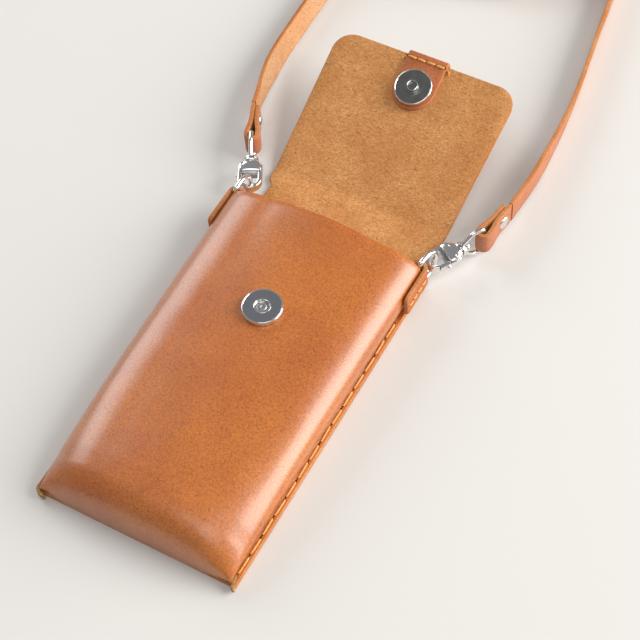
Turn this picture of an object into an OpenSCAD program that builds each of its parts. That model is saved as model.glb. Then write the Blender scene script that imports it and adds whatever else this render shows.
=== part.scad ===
// A leather phone pouch that lies on its back with the flap thrown open.
// Millimetres. The origin is the centre of the resting face of the back, +Y runs from the bottom to the flap.

/* [Leather] */
// Thickness of the body leather
leather_t = 2; // [1.6:0.1:2.4]
// Thickness of the small tabs
tab_t = 1.8; // [1.2:0.1:2]
// Radius of the thick waxed thread
thread_r = 0.45; // [0.3:0.05:0.6]

/* [Pocket] */
// Width of the back across the sewn edges
back_w = 99; // [88:1:108]
// Length of the back from the bottom fold to the first flap crease
back_len = 172; // [166:1:182]
// How far the front stops short of the crease
mouth_gap = 5.2; // [5:0.1:8]
// Width of the flat sewn edge
seam_w = 3; // [2.4:0.2:4]
// Height of the front over the table at the mouth
body_h = 25; // [23:0.5:28]
// Height of the front over the table at the bottom
bottom_h = 21.5; // [19:0.5:24]
// Extra height of the middle of the front
crown = 1; // [0.4:0.2:1.6]
// How far the side walls swell out at the mouth
bulge = 2.2; // [1.2:0.2:4]
// Outer radius of the bottom fold
bottom_r = 15.5; // [9:0.5:17]
// Radius of the long shoulders between front and side
shoulder_r = 13; // [10:0.5:16]
// How much rounder the shoulders are at the bottom corners
corner_pinch = 9; // [0:0.5:12]
// Width of the open slit at each bottom corner
slit_w = 0.8; // [0.5:0.1:1.4]
// Height of the open slit at each bottom corner
slit_h = 10; // [7:0.5:13]

/* [Stitches] */
// Spacing of the long edge stitches
stitch_pitch = 10; // [8:0.5:13]
// Part of the spacing that one stitch covers
stitch_share = 0.84; // [0.7:0.02:0.9]
// Where the first edge stitch starts above the bottom fold
stitch_start = 5; // [4:0.5:9]
// Spacing of the short tab stitches
tab_pitch = 5; // [4:0.25:5.5]

/* [Flap] */
// Width of the flap at its free edge
flap_w = 96; // [90:1:100]
// Width of the strip between the two creases
bridge_w = 92; // [86:1:93]
// Width of the waist of that strip, which clears the hooks
waist_w = 85.6; // [78:0.2:86]
// Length of the strip between the two creases, which closes the mouth
bridge_len = 27.5; // [25:0.5:30]
// Length of the flap past the second crease
flap_len = 77; // [66:1:84]
// Radius of the two free corners of the flap
flap_r = 10; // [6:1:14]
// Angle at which the flap rests above the table
flap_rest = 20; // [10:1:38]
// Distance of the snap centre from the free edge
snap_inset = 16.5; // [13:0.5:18]
// Half width of the reinforcing tab on the free edge
ftab_half = 10.5; // [9.8:0.1:12]
// Length of the tab on the outer face of the flap
ftab_back = 8; // [6:0.5:9]

/* [Snap] */
// Diameter of the round snap faces
snap_d = 18.6; // [16:0.1:20]
// Height of each snap face
snap_h = 2.4; // [2:0.1:3]
// Diameter of the raised centre of the flap snap
nub_d = 4.6; // [4:0.1:5.4]
// Height of the raised centre
nub_h = 1.4; // [1:0.1:1.8]
// Space between the two closed snap faces
snap_gap = 0.9; // [0.4:0.1:1.2]
// Diameter of the ring magnet behind the front
magnet_d = 14; // [12:0.5:16]
// Height of the ring magnet
magnet_h = 1.4; // [1:0.1:2]

/* [Ring tab] */
// Width of the tab that holds a ring
rtab_w = 12; // [10:0.5:12]
// Inner radius of the loop of the tab
rtab_in = 2.35; // [2.1:0.05:2.6]
// Length of the outer leg of the tab
rtab_out_len = 19; // [15:1:24]
// Length of the inner leg of the tab
rtab_in_len = 15; // [12:1:18]
// Height of the middle of the tab over the table
rtab_z = 11.6; // [11.4:0.2:13]

/* [D ring] */
// Wire radius of the ring
ring_wire = 1.2; // [1:0.05:1.3]
// Radius of the round side of the ring, to the middle of the wire
ring_r = 7.5; // [7.2:0.1:8]
// Length of the straight arms of the ring
ring_arm = 4.8; // [3.8:0.1:5.4]
// Outward angle at which the left ring rests
ring_out_left = 0; // [0:1:16]
// Outward angle at which the right ring rests
ring_out_right = 8; // [4:1:16]

/* [Clasp] */
// Outward angle of the left clasp
clasp_out_left = 27; // [22:1:36]
// Outward angle of the right clasp
clasp_out_right = 33; // [28:1:38]
// Height of the middle of the clasp over the table
clasp_z = 10; // [9.6:0.1:10.6]
// Inner radius of the hook nose
hook_in = 3.8; // [3.6:0.1:4.1]
// Width of the hook stock
hook_stock = 2; // [1.8:0.1:2.2]
// Half thickness of the hook
hook_half = 2.1; // [1.9:0.1:2.4]
// Length of the open space in the hook
hook_space = 11; // [10.5:0.5:13]
// Radius of the gate pin
pin_r = 0.75; // [0.6:0.05:0.8]
// Running clearance of pins and pivots
run_gap = 0.08; // [0.05:0.01:0.12]
// Radius of the swivel post
post_r = 1.5; // [1.3:0.05:1.6]
// Wire radius of the strap eye
eye_wire = 1.1; // [0.9:0.05:1.2]
// Length of the strap eye from its base to its bar
eye_len = 10.9; // [10:0.1:13]

/* [Strap] */
// Width of the strap
strap_w = 12; // [10:0.5:12]
// Thickness of the strap
strap_t = 2.2; // [1.8:0.1:2.4]
// Distance of the rivet from the eye bar
rivet_y = 13; // [12:0.5:14]
// Diameter of the rivet caps
rivet_d = 6.5; // [5.5:0.5:7.5]

/* [Hidden] */
$fn = 48;

// Overrun of every cut
over = 1;
// Clearance between pieces of one stack
fit_gap = 0.1;
// Clearance between moving pieces that lie close
move_gap = 0.3;

front_len = back_len - mouth_gap;
foot_x = back_w / 2 - seam_w;
side_lean = 1.2;
// The height of the widest line of the side wall, as a share of the wall, and its loss toward the bottom
widest_share = 0.48;
sinking_share = 0.2;
bulge_power = 1.5;
// How tightly the side wall turns in over its foot
foot_power = 1.6;

leather = [0.77, 0.47, 0.27];
thread = [0.93, 0.66, 0.34];
chrome = [0.78, 0.78, 0.8];
mirror_dark = [0.3, 0.3, 0.32];

// Half width of the body at share s of its length
function wall_x(s) = foot_x + side_lean + bulge * pow(s, bulge_power);
// Height of the front's shoulders at share s of its length
function top_h(s) = bottom_h + (body_h - bottom_h) * sin(90 * s);

// Radius of the shoulders at share s of the length
function shoulder_at(s) = shoulder_r + corner_pinch * pow(1 - s, 3);

// Half of one cross section, from the sewn edge to the middle: x and z pairs
function half_profile(s, h, z0, d, c) =
  let(zm = z0 + (widest_share - sinking_share * pow(1 - s, 3)) * (h - z0), wx = wall_x(s), sr = shoulder_at(s))
  concat(
    [[back_w / 2, z0], [foot_x - d, z0]],
    [for (i = [1 : 4]) let(b = 90 - 22.5 * i)
      [foot_x - d + (wx - foot_x) * pow(cos(b), foot_power), zm - (zm - z0) * sin(b)]],
    [for (i = [1 : 5]) let(a = 18 * i)
      [wx - d - (sr - d) * (1 - cos(a)), zm + (h - zm) * sin(a)]],
    [for (k = [2 / 3, 1 / 3, 0]) [(wx - sr) * k, h + c * (1 - k * k)]]);

// A whole cross section at length y, from the right edge to the left edge
function profile_row(y, s, h, z0, d, c) =
  let(hp = half_profile(s, h, z0, d, c), n = len(hp))
  concat(
    [for (i = [0 : n - 1]) [hp[i][0], y, hp[i][1]]],
    [for (i = [n - 2 : -1 : 0]) [-hp[i][0], y, hp[i][1]]]);

round_angles = [0, 18, 36, 54, 72, 90];
length_shares = [0.14, 0.28, 0.42, 0.56, 0.7, 0.84, 1];

function outer_rows() = concat(
  [for (a = round_angles)
    profile_row(bottom_r * (1 - cos(a)), 0, bottom_h - bottom_r * (1 - sin(a)),
      2 * leather_t, 0, crown * sin(a))],
  [for (k = length_shares) let(y = bottom_r + (front_len - bottom_r) * k, s = y / front_len)
    profile_row(y, s, top_h(s), 2 * leather_t, 0, crown)]);

function inner_rows() = concat(
  [for (a = round_angles)
    profile_row(leather_t + (bottom_r - leather_t) * (1 - cos(a)), 0,
      bottom_h - leather_t - (bottom_r - leather_t) * (1 - sin(a)), leather_t, leather_t, crown * sin(a))],
  [for (k = length_shares) let(y = bottom_r + (front_len - bottom_r) * k, s = y / front_len)
    profile_row(y, s, top_h(s) - leather_t, leather_t, leather_t, crown)]);

// Two grids of rows joined into one closed skin, with a flat bottom wall that stands on the back
module skin(outer, inner) {
  rows = len(outer);
  cols = len(outer[0]);
  n = rows * cols;
  low_r = 2 * n;
  low_l = 2 * n + 1;
  low_m = 2 * n + 2;
  in_m = 2 * n + 3;
  points = concat([for (r = outer) each r], [for (r = inner) each r],
    [[back_w / 2, 0, leather_t], [-back_w / 2, 0, leather_t], [0, 0, leather_t], [0, leather_t, leather_t]]);
  grid_out = [for (i = [0 : rows - 2]) for (j = [0 : cols - 2]) let(a = i * cols + j)
    each [[a, a + cols, a + 1], [a + 1, a + cols, a + cols + 1]]];
  grid_in = [for (i = [0 : rows - 2]) for (j = [0 : cols - 2]) let(a = n + i * cols + j)
    each [[a, a + 1, a + cols], [a + 1, a + cols + 1, a + cols]]];
  right = [for (i = [0 : rows - 2]) let(a = i * cols)
    each [[a, n + a, a + cols], [a + cols, n + a, n + a + cols]]];
  left = [for (i = [0 : rows - 2]) let(a = i * cols + cols - 1)
    each [[a, a + cols, n + a], [a + cols, n + a + cols, n + a]]];
  mouth = [for (j = [0 : cols - 2]) let(a = (rows - 1) * cols + j)
    each [[a, n + a, a + 1], [a + 1, n + a, n + a + 1]]];
  wall_out = [concat([low_m, low_r], [for (j = [0 : cols - 1]) j], [low_l])];
  wall_in = [concat([in_m], [for (j = [cols - 2 : -1 : 1]) n + j])];
  base = [[low_m, low_l, n + cols - 1, n + cols - 2, in_m, n + 1, n, low_r]];
  corners = [[low_r, n, 0], [low_l, cols - 1, n + cols - 1]];
  faces = concat(grid_out, grid_in, right, left, mouth, wall_out, wall_in, base, corners);
  polyhedron(points, [for (f = faces) concat([f[0]], [for (i = [len(f) - 1 : -1 : 1]) f[i]])], convexity = 6);
}

// Moves a piece from bottom-edge coordinates to the origin of the whole part
module place() {
  translate([0, -back_len / 2, 0]) children();
}

// A straight round bar between two points
module bar(a, b, r) {
  d = b - a;
  l = norm(d);
  translate(a)
    rotate([0, acos(d[2] / l), atan2(d[1], d[0])])
      cylinder(h = l, r = r);
}

// A low round dome with its flat side on z = 0
module dome(r, h) {
  rr = (r * r + h * h) / (2 * h);
  top = asin(r / rr);
  rotate_extrude()
    polygon(concat([[0, 0]], [for (i = [0 : 8]) let(a = top * (1 - i / 8)) [rr * sin(a), rr * cos(a) - rr + h]]));
}

// Places of the snap halves, worked out from the folded flap
snap_reach = flap_len - snap_inset;
snap_row = (back_len - snap_reach) / front_len;
front_z = top_h(snap_row) + crown;
seat_gap = 0.15;
snap_base = front_z + seat_gap;
magnet_top = front_z - leather_t - 1.4 * seat_gap;
washer_h = 0.7 * magnet_h;
close_z = snap_base + snap_h + snap_gap + snap_h + tab_t;
close_lift = asin((close_z - bridge_len - leather_t) / snap_reach);
snap_y = back_len - snap_reach * cos(close_lift);
hole_r = nub_d * 0.59;
shank_r = nub_d / 3;

module back_panel() {
  color(leather) place()
    translate([-back_w / 2, 0, 0]) cube([back_w, back_len, leather_t]);
}

// A short slanting cut through a bottom corner
module corner_slit() {
  translate([wall_x(0), 0, 2 * leather_t + leather_t])
    rotate([0, 0, 45])
      translate([-2 * leather_t, -slit_w / 2, 0]) cube([4 * leather_t, slit_w, slit_h]);
}

module front_shell() {
  color(leather) place() difference() {
    skin(outer_rows(), inner_rows());
    corner_slit();
    mirror([1, 0, 0]) corner_slit();
    translate([0, snap_y, body_h / 2]) cylinder(h = body_h, r = shank_r + fit_gap);
  }
}

// One straight stitch of thread on a surface, along +Y
module stitch(l) {
  translate([0, 0, thread_r])
    rotate([-90, 0, 0])
      cylinder(h = l, r = thread_r, $fn = 16);
}

stitch_x = back_w / 2 - seam_w * 0.5;
stitch_count = floor((front_len - rtab_out_len - stitch_start) / stitch_pitch);

module edge_stitches() {
  for (i = [0 : stitch_count - 1])
    translate([stitch_x, stitch_start + i * stitch_pitch, 2 * leather_t])
      stitch(stitch_pitch * stitch_share);
}

module side_stitches_left() {
  color(thread) place() mirror([1, 0, 0]) edge_stitches();
}

module side_stitches_right() {
  color(thread) place() edge_stitches();
}

// The tab that holds a ring is folded over the side wall
rtab_out = rtab_in + tab_t;
rtab_x = wall_x(1) + fit_gap * 2 - rtab_in;
rtab_end = front_len + ring_wire * 0.55;

module ring_tab() {
  x_in = rtab_x - rtab_out;
  translate([0, 0, rtab_z - rtab_w / 2])
    linear_extrude(height = rtab_w) {
      difference() {
        union() {
          translate([rtab_x, rtab_end]) circle(r = rtab_out);
          translate([x_in, rtab_end - rtab_in_len]) square([2 * rtab_out, rtab_in_len]);
          translate([rtab_x + rtab_in, rtab_end - rtab_out_len]) square([tab_t, rtab_out_len]);
        }
        translate([rtab_x, rtab_end]) circle(r = rtab_in);
        translate([rtab_x - rtab_in, rtab_end - rtab_out_len - over])
          square([2 * rtab_in, rtab_out_len + over]);
      }
    }
}

module ring_tab_left() {
  color(leather) place() mirror([1, 0, 0]) ring_tab();
}

module ring_tab_right() {
  color(leather) place() ring_tab();
}

// Four stitches along the middle of the outer leg of the tab
module ring_tab_stitches() {
  for (i = [0 : 3])
    translate([rtab_x + rtab_out + thread_r, rtab_end - rtab_out_len + tab_t + i * tab_pitch * 0.84, rtab_z])
      rotate([-90, 0, 0])
        cylinder(h = tab_pitch * 0.84 * stitch_share, r = thread_r, $fn = 16);
}

module tab_stitches_left() {
  color(thread) place() mirror([1, 0, 0]) ring_tab_stitches();
}

module tab_stitches_right() {
  color(thread) place() ring_tab_stitches();
}

// The front half of the snap: face and shank in one, with a well for the raised centre of the other half
module front_snap_socket() {
  edge = snap_h / 6;
  color(mirror_dark) place() translate([0, snap_y, snap_base])
    difference() {
      union() {
        cylinder(h = snap_h - edge, d = snap_d);
        translate([0, 0, snap_h - edge]) cylinder(h = edge, d1 = snap_d, d2 = snap_d - 2 * edge);
        translate([0, 0, magnet_top - magnet_h - washer_h - snap_base])
          cylinder(h = snap_base - magnet_top + magnet_h + washer_h + edge, r = shank_r);
      }
      translate([0, 0, snap_h - nub_h - fit_gap * 2]) cylinder(h = snap_h, r = hole_r);
    }
}

module front_snap_magnet() {
  color(chrome) place() translate([0, snap_y, magnet_top - magnet_h])
    difference() {
      cylinder(h = magnet_h, d = magnet_d);
      translate([0, 0, -over]) cylinder(h = magnet_h + 2 * over, r = shank_r + fit_gap);
    }
}

module front_snap_washer() {
  color(chrome) place() translate([0, snap_y, magnet_top - magnet_h - washer_h])
    difference() {
      cylinder(h = washer_h, d = magnet_d);
      translate([0, 0, -over]) cylinder(h = washer_h + 2 * over, r = shank_r + fit_gap);
    }
}

// The strip that bridges the mouth when the flap is closed, with a waist between its two creases
waist_shares = [0.08, 0.28, 0.6, 0.8];

module flap_bridge() {
  edge = [[bridge_w / 2, 0], [bridge_w / 2, bridge_len * waist_shares[0]], [waist_w / 2, bridge_len * waist_shares[1]],
    [waist_w / 2, bridge_len * waist_shares[2]], [bridge_w / 2, bridge_len * waist_shares[3]],
    [bridge_w / 2, bridge_len]];
  color(leather) place() translate([0, back_len, 0])
    linear_extrude(height = leather_t)
      polygon(concat(edge, [for (i = [5 : -1 : 0]) [-edge[i][0], edge[i][1]]]));
}

// Moves a piece from flat flap coordinates to the raised flap: y = 0 at the crease, z = 0 on the inner face
module raised() {
  place() translate([0, back_len + bridge_len, leather_t]) rotate([flap_rest, 0, 0]) children();
}

module flap_panel() {
  color(leather) raised()
    translate([0, 0, -leather_t])
      difference() {
        linear_extrude(height = leather_t) {
          polygon([[-bridge_w / 2, 0], [bridge_w / 2, 0],
            [flap_w / 2, flap_len - flap_r], [-flap_w / 2, flap_len - flap_r]]);
          translate([-flap_w / 2 + flap_r, 0]) square([flap_w - 2 * flap_r, flap_len]);
          for (m = [-1, 1])
            translate([m * (flap_w / 2 - flap_r), flap_len - flap_r]) circle(r = flap_r);
        }
        translate([0, snap_reach, -over]) cylinder(h = leather_t + 2 * over, r = shank_r + fit_gap);
      }
}

// The tab folded round the free edge: a tongue inside, the bend, and a short leg outside
module flap_tab() {
  color(leather) raised()
    difference() {
      union() {
        linear_extrude(height = tab_t) {
          translate([0, snap_reach]) circle(r = ftab_half + move_gap);
          translate([-ftab_half, snap_reach]) square([2 * ftab_half, snap_inset + fit_gap + tab_t / 2]);
        }
        translate([-ftab_half, flap_len + fit_gap, -leather_t - tab_t])
          cube([2 * ftab_half, tab_t, leather_t + 2 * tab_t]);
        translate([-ftab_half, flap_len - ftab_back, -leather_t - tab_t])
          cube([2 * ftab_half, ftab_back + fit_gap + tab_t / 2, tab_t]);
      }
      translate([0, snap_reach, -over]) cylinder(h = tab_t + 2 * over, r = shank_r + fit_gap);
    }
}

// Four stitches across the tab beside the free edge
module flap_tab_stitches() {
  color(thread) raised()
    for (i = [0 : 3])
      translate([(i - 2) * tab_pitch + tab_pitch * (1 - stitch_share) / 2, flap_len - tab_t, tab_t + thread_r])
        rotate([0, 90, 0])
          cylinder(h = tab_pitch * stitch_share, r = thread_r, $fn = 16);
}

module flap_snap_stud() {
  edge = snap_h / 6;
  color(mirror_dark) raised() translate([0, snap_reach, tab_t]) {
    cylinder(h = snap_h - edge, d = snap_d);
    translate([0, 0, snap_h - edge]) cylinder(h = edge, d1 = snap_d, d2 = snap_d - 2 * edge);
    cylinder(h = snap_h + nub_h, d = nub_d);
    translate([0, 0, -tab_t - leather_t]) cylinder(h = tab_t + leather_t + edge, r = shank_r);
  }
}

// The low rivet head behind the flap snap
module flap_snap_washer() {
  color(chrome) raised() translate([0, snap_reach, -leather_t])
    mirror([0, 0, 1]) dome(snap_d * 0.25, tab_t * 0.7);
}

// ---- D rings: a bar in the tab, two arms and a round side ----
// The bar is pulled outward and away from the pocket in the loop of the tab
bar_share = [0.5, 0.86];
bar_x = rtab_x + (rtab_in - ring_wire - move_gap) * bar_share[0];
bar_y = rtab_end + (rtab_in - ring_wire - move_gap) * bar_share[1];

module d_ring(out) {
  translate([bar_x, bar_y, rtab_z])
    rotate([0, 0, -out]) {
      translate([0, 0, -ring_r]) cylinder(h = 2 * ring_r, r = ring_wire, $fn = 32);
      for (m = [-1, 1])
        translate([0, 0, m * ring_r]) {
          sphere(r = ring_wire, $fn = 32);
          rotate([-90, 0, 0]) cylinder(h = ring_arm, r = ring_wire, $fn = 32);
        }
      translate([0, ring_arm, 0]) rotate([0, 90, 0])
        rotate_extrude(angle = 180, $fn = 64) translate([ring_r, 0]) circle(r = ring_wire, $fn = 32);
    }
}

module d_ring_left() {
  color(chrome) place() mirror([1, 0, 0]) d_ring(ring_out_left);
}

module d_ring_right() {
  color(chrome) place() d_ring(ring_out_right);
}

// The ring wire stands this far beside and before the middle of the nose, as shares of its radius
beside_left_share = 0.1;
before_left_share = 0.35;
beside_right_share = 0.43;
before_right_share = 0;
bow_reach = ring_arm + sqrt(ring_r * ring_r - (clasp_z - rtab_z) * (clasp_z - rtab_z));

// Middle of the nose for a ring and a clasp at given angles
function nose_at(out, turn, beside, before) = [
  bar_x + bow_reach * sin(out) + hook_in * (beside * cos(turn) + before * sin(turn)),
  bar_y + bow_reach * cos(out) + hook_in * (before * cos(turn) - beside * sin(turn))];
nose_left = nose_at(ring_out_left, clasp_out_left, beside_left_share, before_left_share);
nose_right = nose_at(ring_out_right, clasp_out_right, beside_right_share, before_right_share);

hook_out = hook_in + hook_stock;
space_end = hook_space - hook_in;
neck_len = 3.2;
neck_half = 2.6;
neck_x = hook_in + 0.6 * hook_stock;
neck_end = space_end + neck_len;
slot_half = 1.5;
gate_eye_half = slot_half - fit_gap;
gate_eye_r = 1.7;
gate_y = space_end + 0.44 * neck_len;
gate_tip = -0.34 * hook_in;
gate_half = 0.8 * hook_half;
collar_r = 4.2;
collar_len = 1.4;
eye_y = neck_end + collar_len + 2 * fit_gap;
eye_base = 3;
eye_base_x = 3.6;
eye_base_z = 3.4;
head_y = eye_y + eye_base + 2 * fit_gap;
head_r = 2.4;
head_len = 1.2;
eye_half = strap_w / 2 + 2 * fit_gap + eye_wire;
eye_bar_y = eye_y + eye_base / 2 + eye_len;

// The local origin of a clasp is the middle of its round nose, +Y runs toward the strap
module clasp_left() {
  mirror([1, 0, 0]) translate([nose_left[0], nose_left[1], clasp_z]) rotate([0, 0, -clasp_out_left]) children();
}

module clasp_right() {
  translate([nose_right[0], nose_right[1], clasp_z]) rotate([0, 0, -clasp_out_right]) children();
}

// A round rod along +Y
module rod_y(y0, y1, r) {
  translate([0, y0, 0]) rotate([-90, 0, 0]) cylinder(h = y1 - y0, r = r, $fn = 32);
}

module hook() {
  translate([0, 0, -hook_half])
    linear_extrude(height = 2 * hook_half)
      difference() {
        union() {
          circle(r = hook_out);
          translate([-hook_out, 0]) square([2 * hook_out, space_end + hook_stock / 2]);
        }
        circle(r = hook_in);
        translate([-hook_in, 0]) square([2 * hook_in, space_end]);
        translate([0, gate_tip - 2 * fit_gap]) square([hook_out + over, space_end - gate_tip + 2 * fit_gap]);
        translate([neck_x, space_end - fit_gap]) square([hook_out, hook_stock]);
      }
  rod_y(neck_end - fit_gap, neck_end + collar_len, collar_r);
  rod_y(neck_end, head_y + head_len, post_r);
  rod_y(head_y, head_y + head_len, head_r);
}

// The neck carries the gate in a slot, on a pin across it
module hook_body() {
  difference() {
    union() {
      hook();
      translate([-neck_x, space_end, -neck_half]) cube([2 * neck_x, neck_len, 2 * neck_half]);
    }
    translate([hook_in - gate_eye_r - 2 * fit_gap, space_end - over, -slot_half])
      cube([hook_out, neck_len + over, 2 * slot_half]);
    translate([hook_in, gate_y, -neck_half - over])
      cylinder(h = 2 * neck_half + 2 * over, r = pin_r + run_gap, $fn = 32);
  }
}

module gate() {
  knob_r = hook_stock / 2;
  difference() {
    union() {
      translate([hook_in, gate_tip, -gate_half])
        cube([hook_stock, space_end - 2 * fit_gap - gate_tip - fit_gap, 2 * gate_half]);
      translate([hook_in, gate_y, -gate_eye_half]) cylinder(h = 2 * gate_eye_half, r = gate_eye_r, $fn = 32);
      translate([hook_in, space_end - 4 * fit_gap, -gate_eye_half])
        cube([gate_eye_r, gate_y - space_end + 4 * fit_gap, 2 * gate_eye_half]);
      translate([hook_out, space_end * 0.4, 0]) rotate([0, 90, 0]) cylinder(h = knob_r, r = knob_r, $fn = 32);
    }
    translate([hook_in, gate_y, -neck_half - over])
      cylinder(h = 2 * neck_half + 2 * over, r = pin_r + run_gap, $fn = 32);
  }
}

module gate_pin() {
  translate([hook_in, gate_y, -neck_half]) cylinder(h = 2 * neck_half, r = pin_r, $fn = 32);
}

module swivel_eye() {
  top = eye_y + eye_base / 2;
  shoulder = top + eye_len * 0.48;
  difference() {
    union() {
      translate([-eye_base_x, eye_y, -eye_base_z]) cube([2 * eye_base_x, eye_base, 2 * eye_base_z]);
      for (m = [-1, 1]) {
        bar([0, top, m * eye_base_z * 0.88], [0, shoulder, m * eye_half], eye_wire);
        bar([0, shoulder, m * eye_half], [0, eye_bar_y, m * eye_half], eye_wire);
        translate([0, shoulder, m * eye_half]) sphere(r = eye_wire, $fn = 32);
        translate([0, eye_bar_y, m * eye_half]) sphere(r = eye_wire, $fn = 32);
      }
      bar([0, eye_bar_y, -eye_half], [0, eye_bar_y, eye_half], eye_wire);
    }
    rod_y(eye_y - over, eye_y + eye_base + over, post_r + run_gap);
  }
}

module hook_left() {
  color(chrome) place() clasp_left() hook_body();
}

module hook_right() {
  color(chrome) place() clasp_right() hook_body();
}

module gate_left() {
  color(chrome) place() clasp_left() gate();
}

module gate_right() {
  color(chrome) place() clasp_right() gate();
}

module gate_pin_left() {
  color(chrome) place() clasp_left() gate_pin();
}

module gate_pin_right() {
  color(chrome) place() clasp_right() gate_pin();
}

module swivel_eye_left() {
  color(chrome) place() clasp_left() swivel_eye();
}

module swivel_eye_right() {
  color(chrome) place() clasp_right() swivel_eye();
}

// The strap folds round the eye bar and is riveted to itself
// Outward heading of each strap end
head_left = 24;
head_right = 9;
fold_in = eye_wire + 2.5 * fit_gap;
fold_out = fold_in + strap_t;
lay_in = fit_gap;
lay_out = fit_gap + strap_t;
tail_len = rivet_y + rivet_d * 0.77;
joint_len = tail_len + strap_t * 0.9;
rivet_r = rivet_d * 0.2;
eye_bar_left = nose_left + eye_bar_y * [sin(clasp_out_left), cos(clasp_out_left)];
eye_bar_right = nose_right + eye_bar_y * [sin(clasp_out_right), cos(clasp_out_right)];

module strap_end_place(eye_bar, heading) {
  translate([eye_bar[0], eye_bar[1], clasp_z]) rotate([0, 0, -heading]) children();
}

module strap_end(eye_bar, heading) {
  neck = rivet_y * 0.55;
  strap_end_place(eye_bar, heading)
    difference() {
      translate([0, 0, -strap_w / 2])
        linear_extrude(height = strap_w)
          difference() {
            union() {
              circle(r = fold_out);
              polygon([[-fold_out, 0], [fold_out, 0], [lay_out, neck], [lay_out, joint_len],
                [0, joint_len], [0, tail_len], [-lay_out, tail_len], [-lay_out, neck]]);
            }
            circle(r = fold_in);
            polygon([[-fold_in, 0], [fold_in, 0], [lay_in, neck], [lay_in, joint_len + over],
              [-lay_in, joint_len + over], [-lay_in, neck]]);
          }
      translate([-lay_out - over, rivet_y, 0]) rotate([0, 90, 0])
        cylinder(h = 2 * lay_out + 2 * over, r = rivet_r + fit_gap / 2, $fn = 32);
    }
}

module strap_rivet(eye_bar, heading) {
  cap_h = rivet_d * 0.18;
  strap_end_place(eye_bar, heading)
    translate([0, rivet_y, 0]) rotate([0, 90, 0]) {
      translate([0, 0, -lay_out]) cylinder(h = 2 * lay_out, r = rivet_r, $fn = 32);
      translate([0, 0, lay_out]) dome(rivet_d / 2, cap_h);
      mirror([0, 0, 1]) translate([0, 0, lay_out]) dome(rivet_d / 2, cap_h);
    }
}

module strap_end_left() {
  color(leather) place() mirror([1, 0, 0]) strap_end(eye_bar_left, head_left);
}

module strap_end_right() {
  color(leather) place() strap_end(eye_bar_right, head_right);
}

module strap_rivet_left() {
  color(chrome) place() mirror([1, 0, 0]) strap_rivet(eye_bar_left, head_left);
}

module strap_rivet_right() {
  color(chrome) place() strap_rivet(eye_bar_right, head_right);
}

// The strap is a flat band on edge, swept along points of its middle line
function unit(v) = v / norm(v);

// Direction of the route at point i, with set directions at both ends
function heading_at(p, i, t0, t1) =
  i == 0 ? t0 : i == len(p) - 1 ? t1 : unit(unit(p[i] - p[i - 1]) + unit(p[i + 1] - p[i]));

// Eight corners of the band round point c with direction t
function band_section(c, t) =
  let(n = unit(cross(t, [0, 0, 1])), u = cross(n, t), a = strap_t / 2, b = strap_w / 2, e = strap_t * 0.23)
  [for (q = [[a, b - e], [a - e, b], [e - a, b], [-a, b - e], [-a, e - b], [e - a, -b], [a - e, -b], [a, e - b]])
    c + n * q[0] + u * q[1]];

module band(p, t0, t1) {
  rings = len(p);
  points = [for (i = [0 : rings - 1]) each band_section(p[i], heading_at(p, i, t0, t1))];
  sides = [for (i = [0 : rings - 2]) for (j = [0 : 7]) let(a = i * 8 + j, b = i * 8 + (j + 1) % 8)
    each [[a, b, a + 8], [b, b + 8, a + 8]]];
  first = [for (j = [1 : 6]) [0, j + 1, j]];
  last = [for (j = [1 : 6]) let(k = (rings - 1) * 8) [k, k + j, k + j + 1]];
  polyhedron(points, concat(sides, first, last), convexity = 10);
}

// The coil: one band spirals in, turns back through the middle and spirals out again
lie_z = 7;
coil_middle = [-22, 418];
coil_r = 60;
coil_step = 5;
coil_turn = 170;
coil_lead = 12;
function on_circle(c, r, a) = [c[0] + r * cos(a), c[1] + r * sin(a), lie_z];
function radius_in(a) = coil_r + 2 * coil_step * (coil_turn - a) / 360;
function radius_out(a) = coil_r + 2 * coil_step * (coil_turn + 180 - a) / 360;
coil_start = on_circle(coil_middle, radius_in(-90), -90) - [coil_lead, 0, 0];
coil_end = on_circle(coil_middle, radius_out(0), 0) - [0, coil_lead, 0];
small_a = [coil_middle[0] + coil_r / 2 * cos(coil_turn), coil_middle[1] + coil_r / 2 * sin(coil_turn)];
small_b = [coil_middle[0] - coil_r / 2 * cos(coil_turn), coil_middle[1] - coil_r / 2 * sin(coil_turn)];
coil_points = concat(
  [coil_start],
  [for (k = [0 : 22]) let(a = -90 + (coil_turn + 90) * k / 22) on_circle(coil_middle, radius_in(a), a)],
  [for (k = [1 : 15]) on_circle(small_a, coil_r / 2, coil_turn + 12 * k)],
  [for (k = [1 : 15]) on_circle(small_b, coil_r / 2, coil_turn - 12 * k)],
  [for (k = [1 : 29]) let(a = (coil_turn + 180) * (1 - k / 29)) on_circle(coil_middle, radius_out(a), a)],
  [coil_end]);

// Least space between strands that lie side by side
function to_segment(q, a, b) =
  let(ab = b - a, t = max(0, min(1, (q - a) * ab / (ab * ab)))) norm(q - a - ab * t);
coil_gaps = [for (i = [0 : len(coil_points) - 1]) for (j = [0 : len(coil_points) - 2])
  if (abs(i - j) > 4 && abs(i - j - 1) > 4) to_segment(coil_points[i], coil_points[j], coil_points[j + 1]) - strap_t];
echo(coil_least_gap = min(coil_gaps));
echo(coil_length = [for (i = 0, l = 0; i < len(coil_points); l = l + (i + 1 < len(coil_points) ?
  norm(coil_points[i + 1] - coil_points[i]) : 0), i = i + 1) l][len(coil_points) - 1]);

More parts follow.
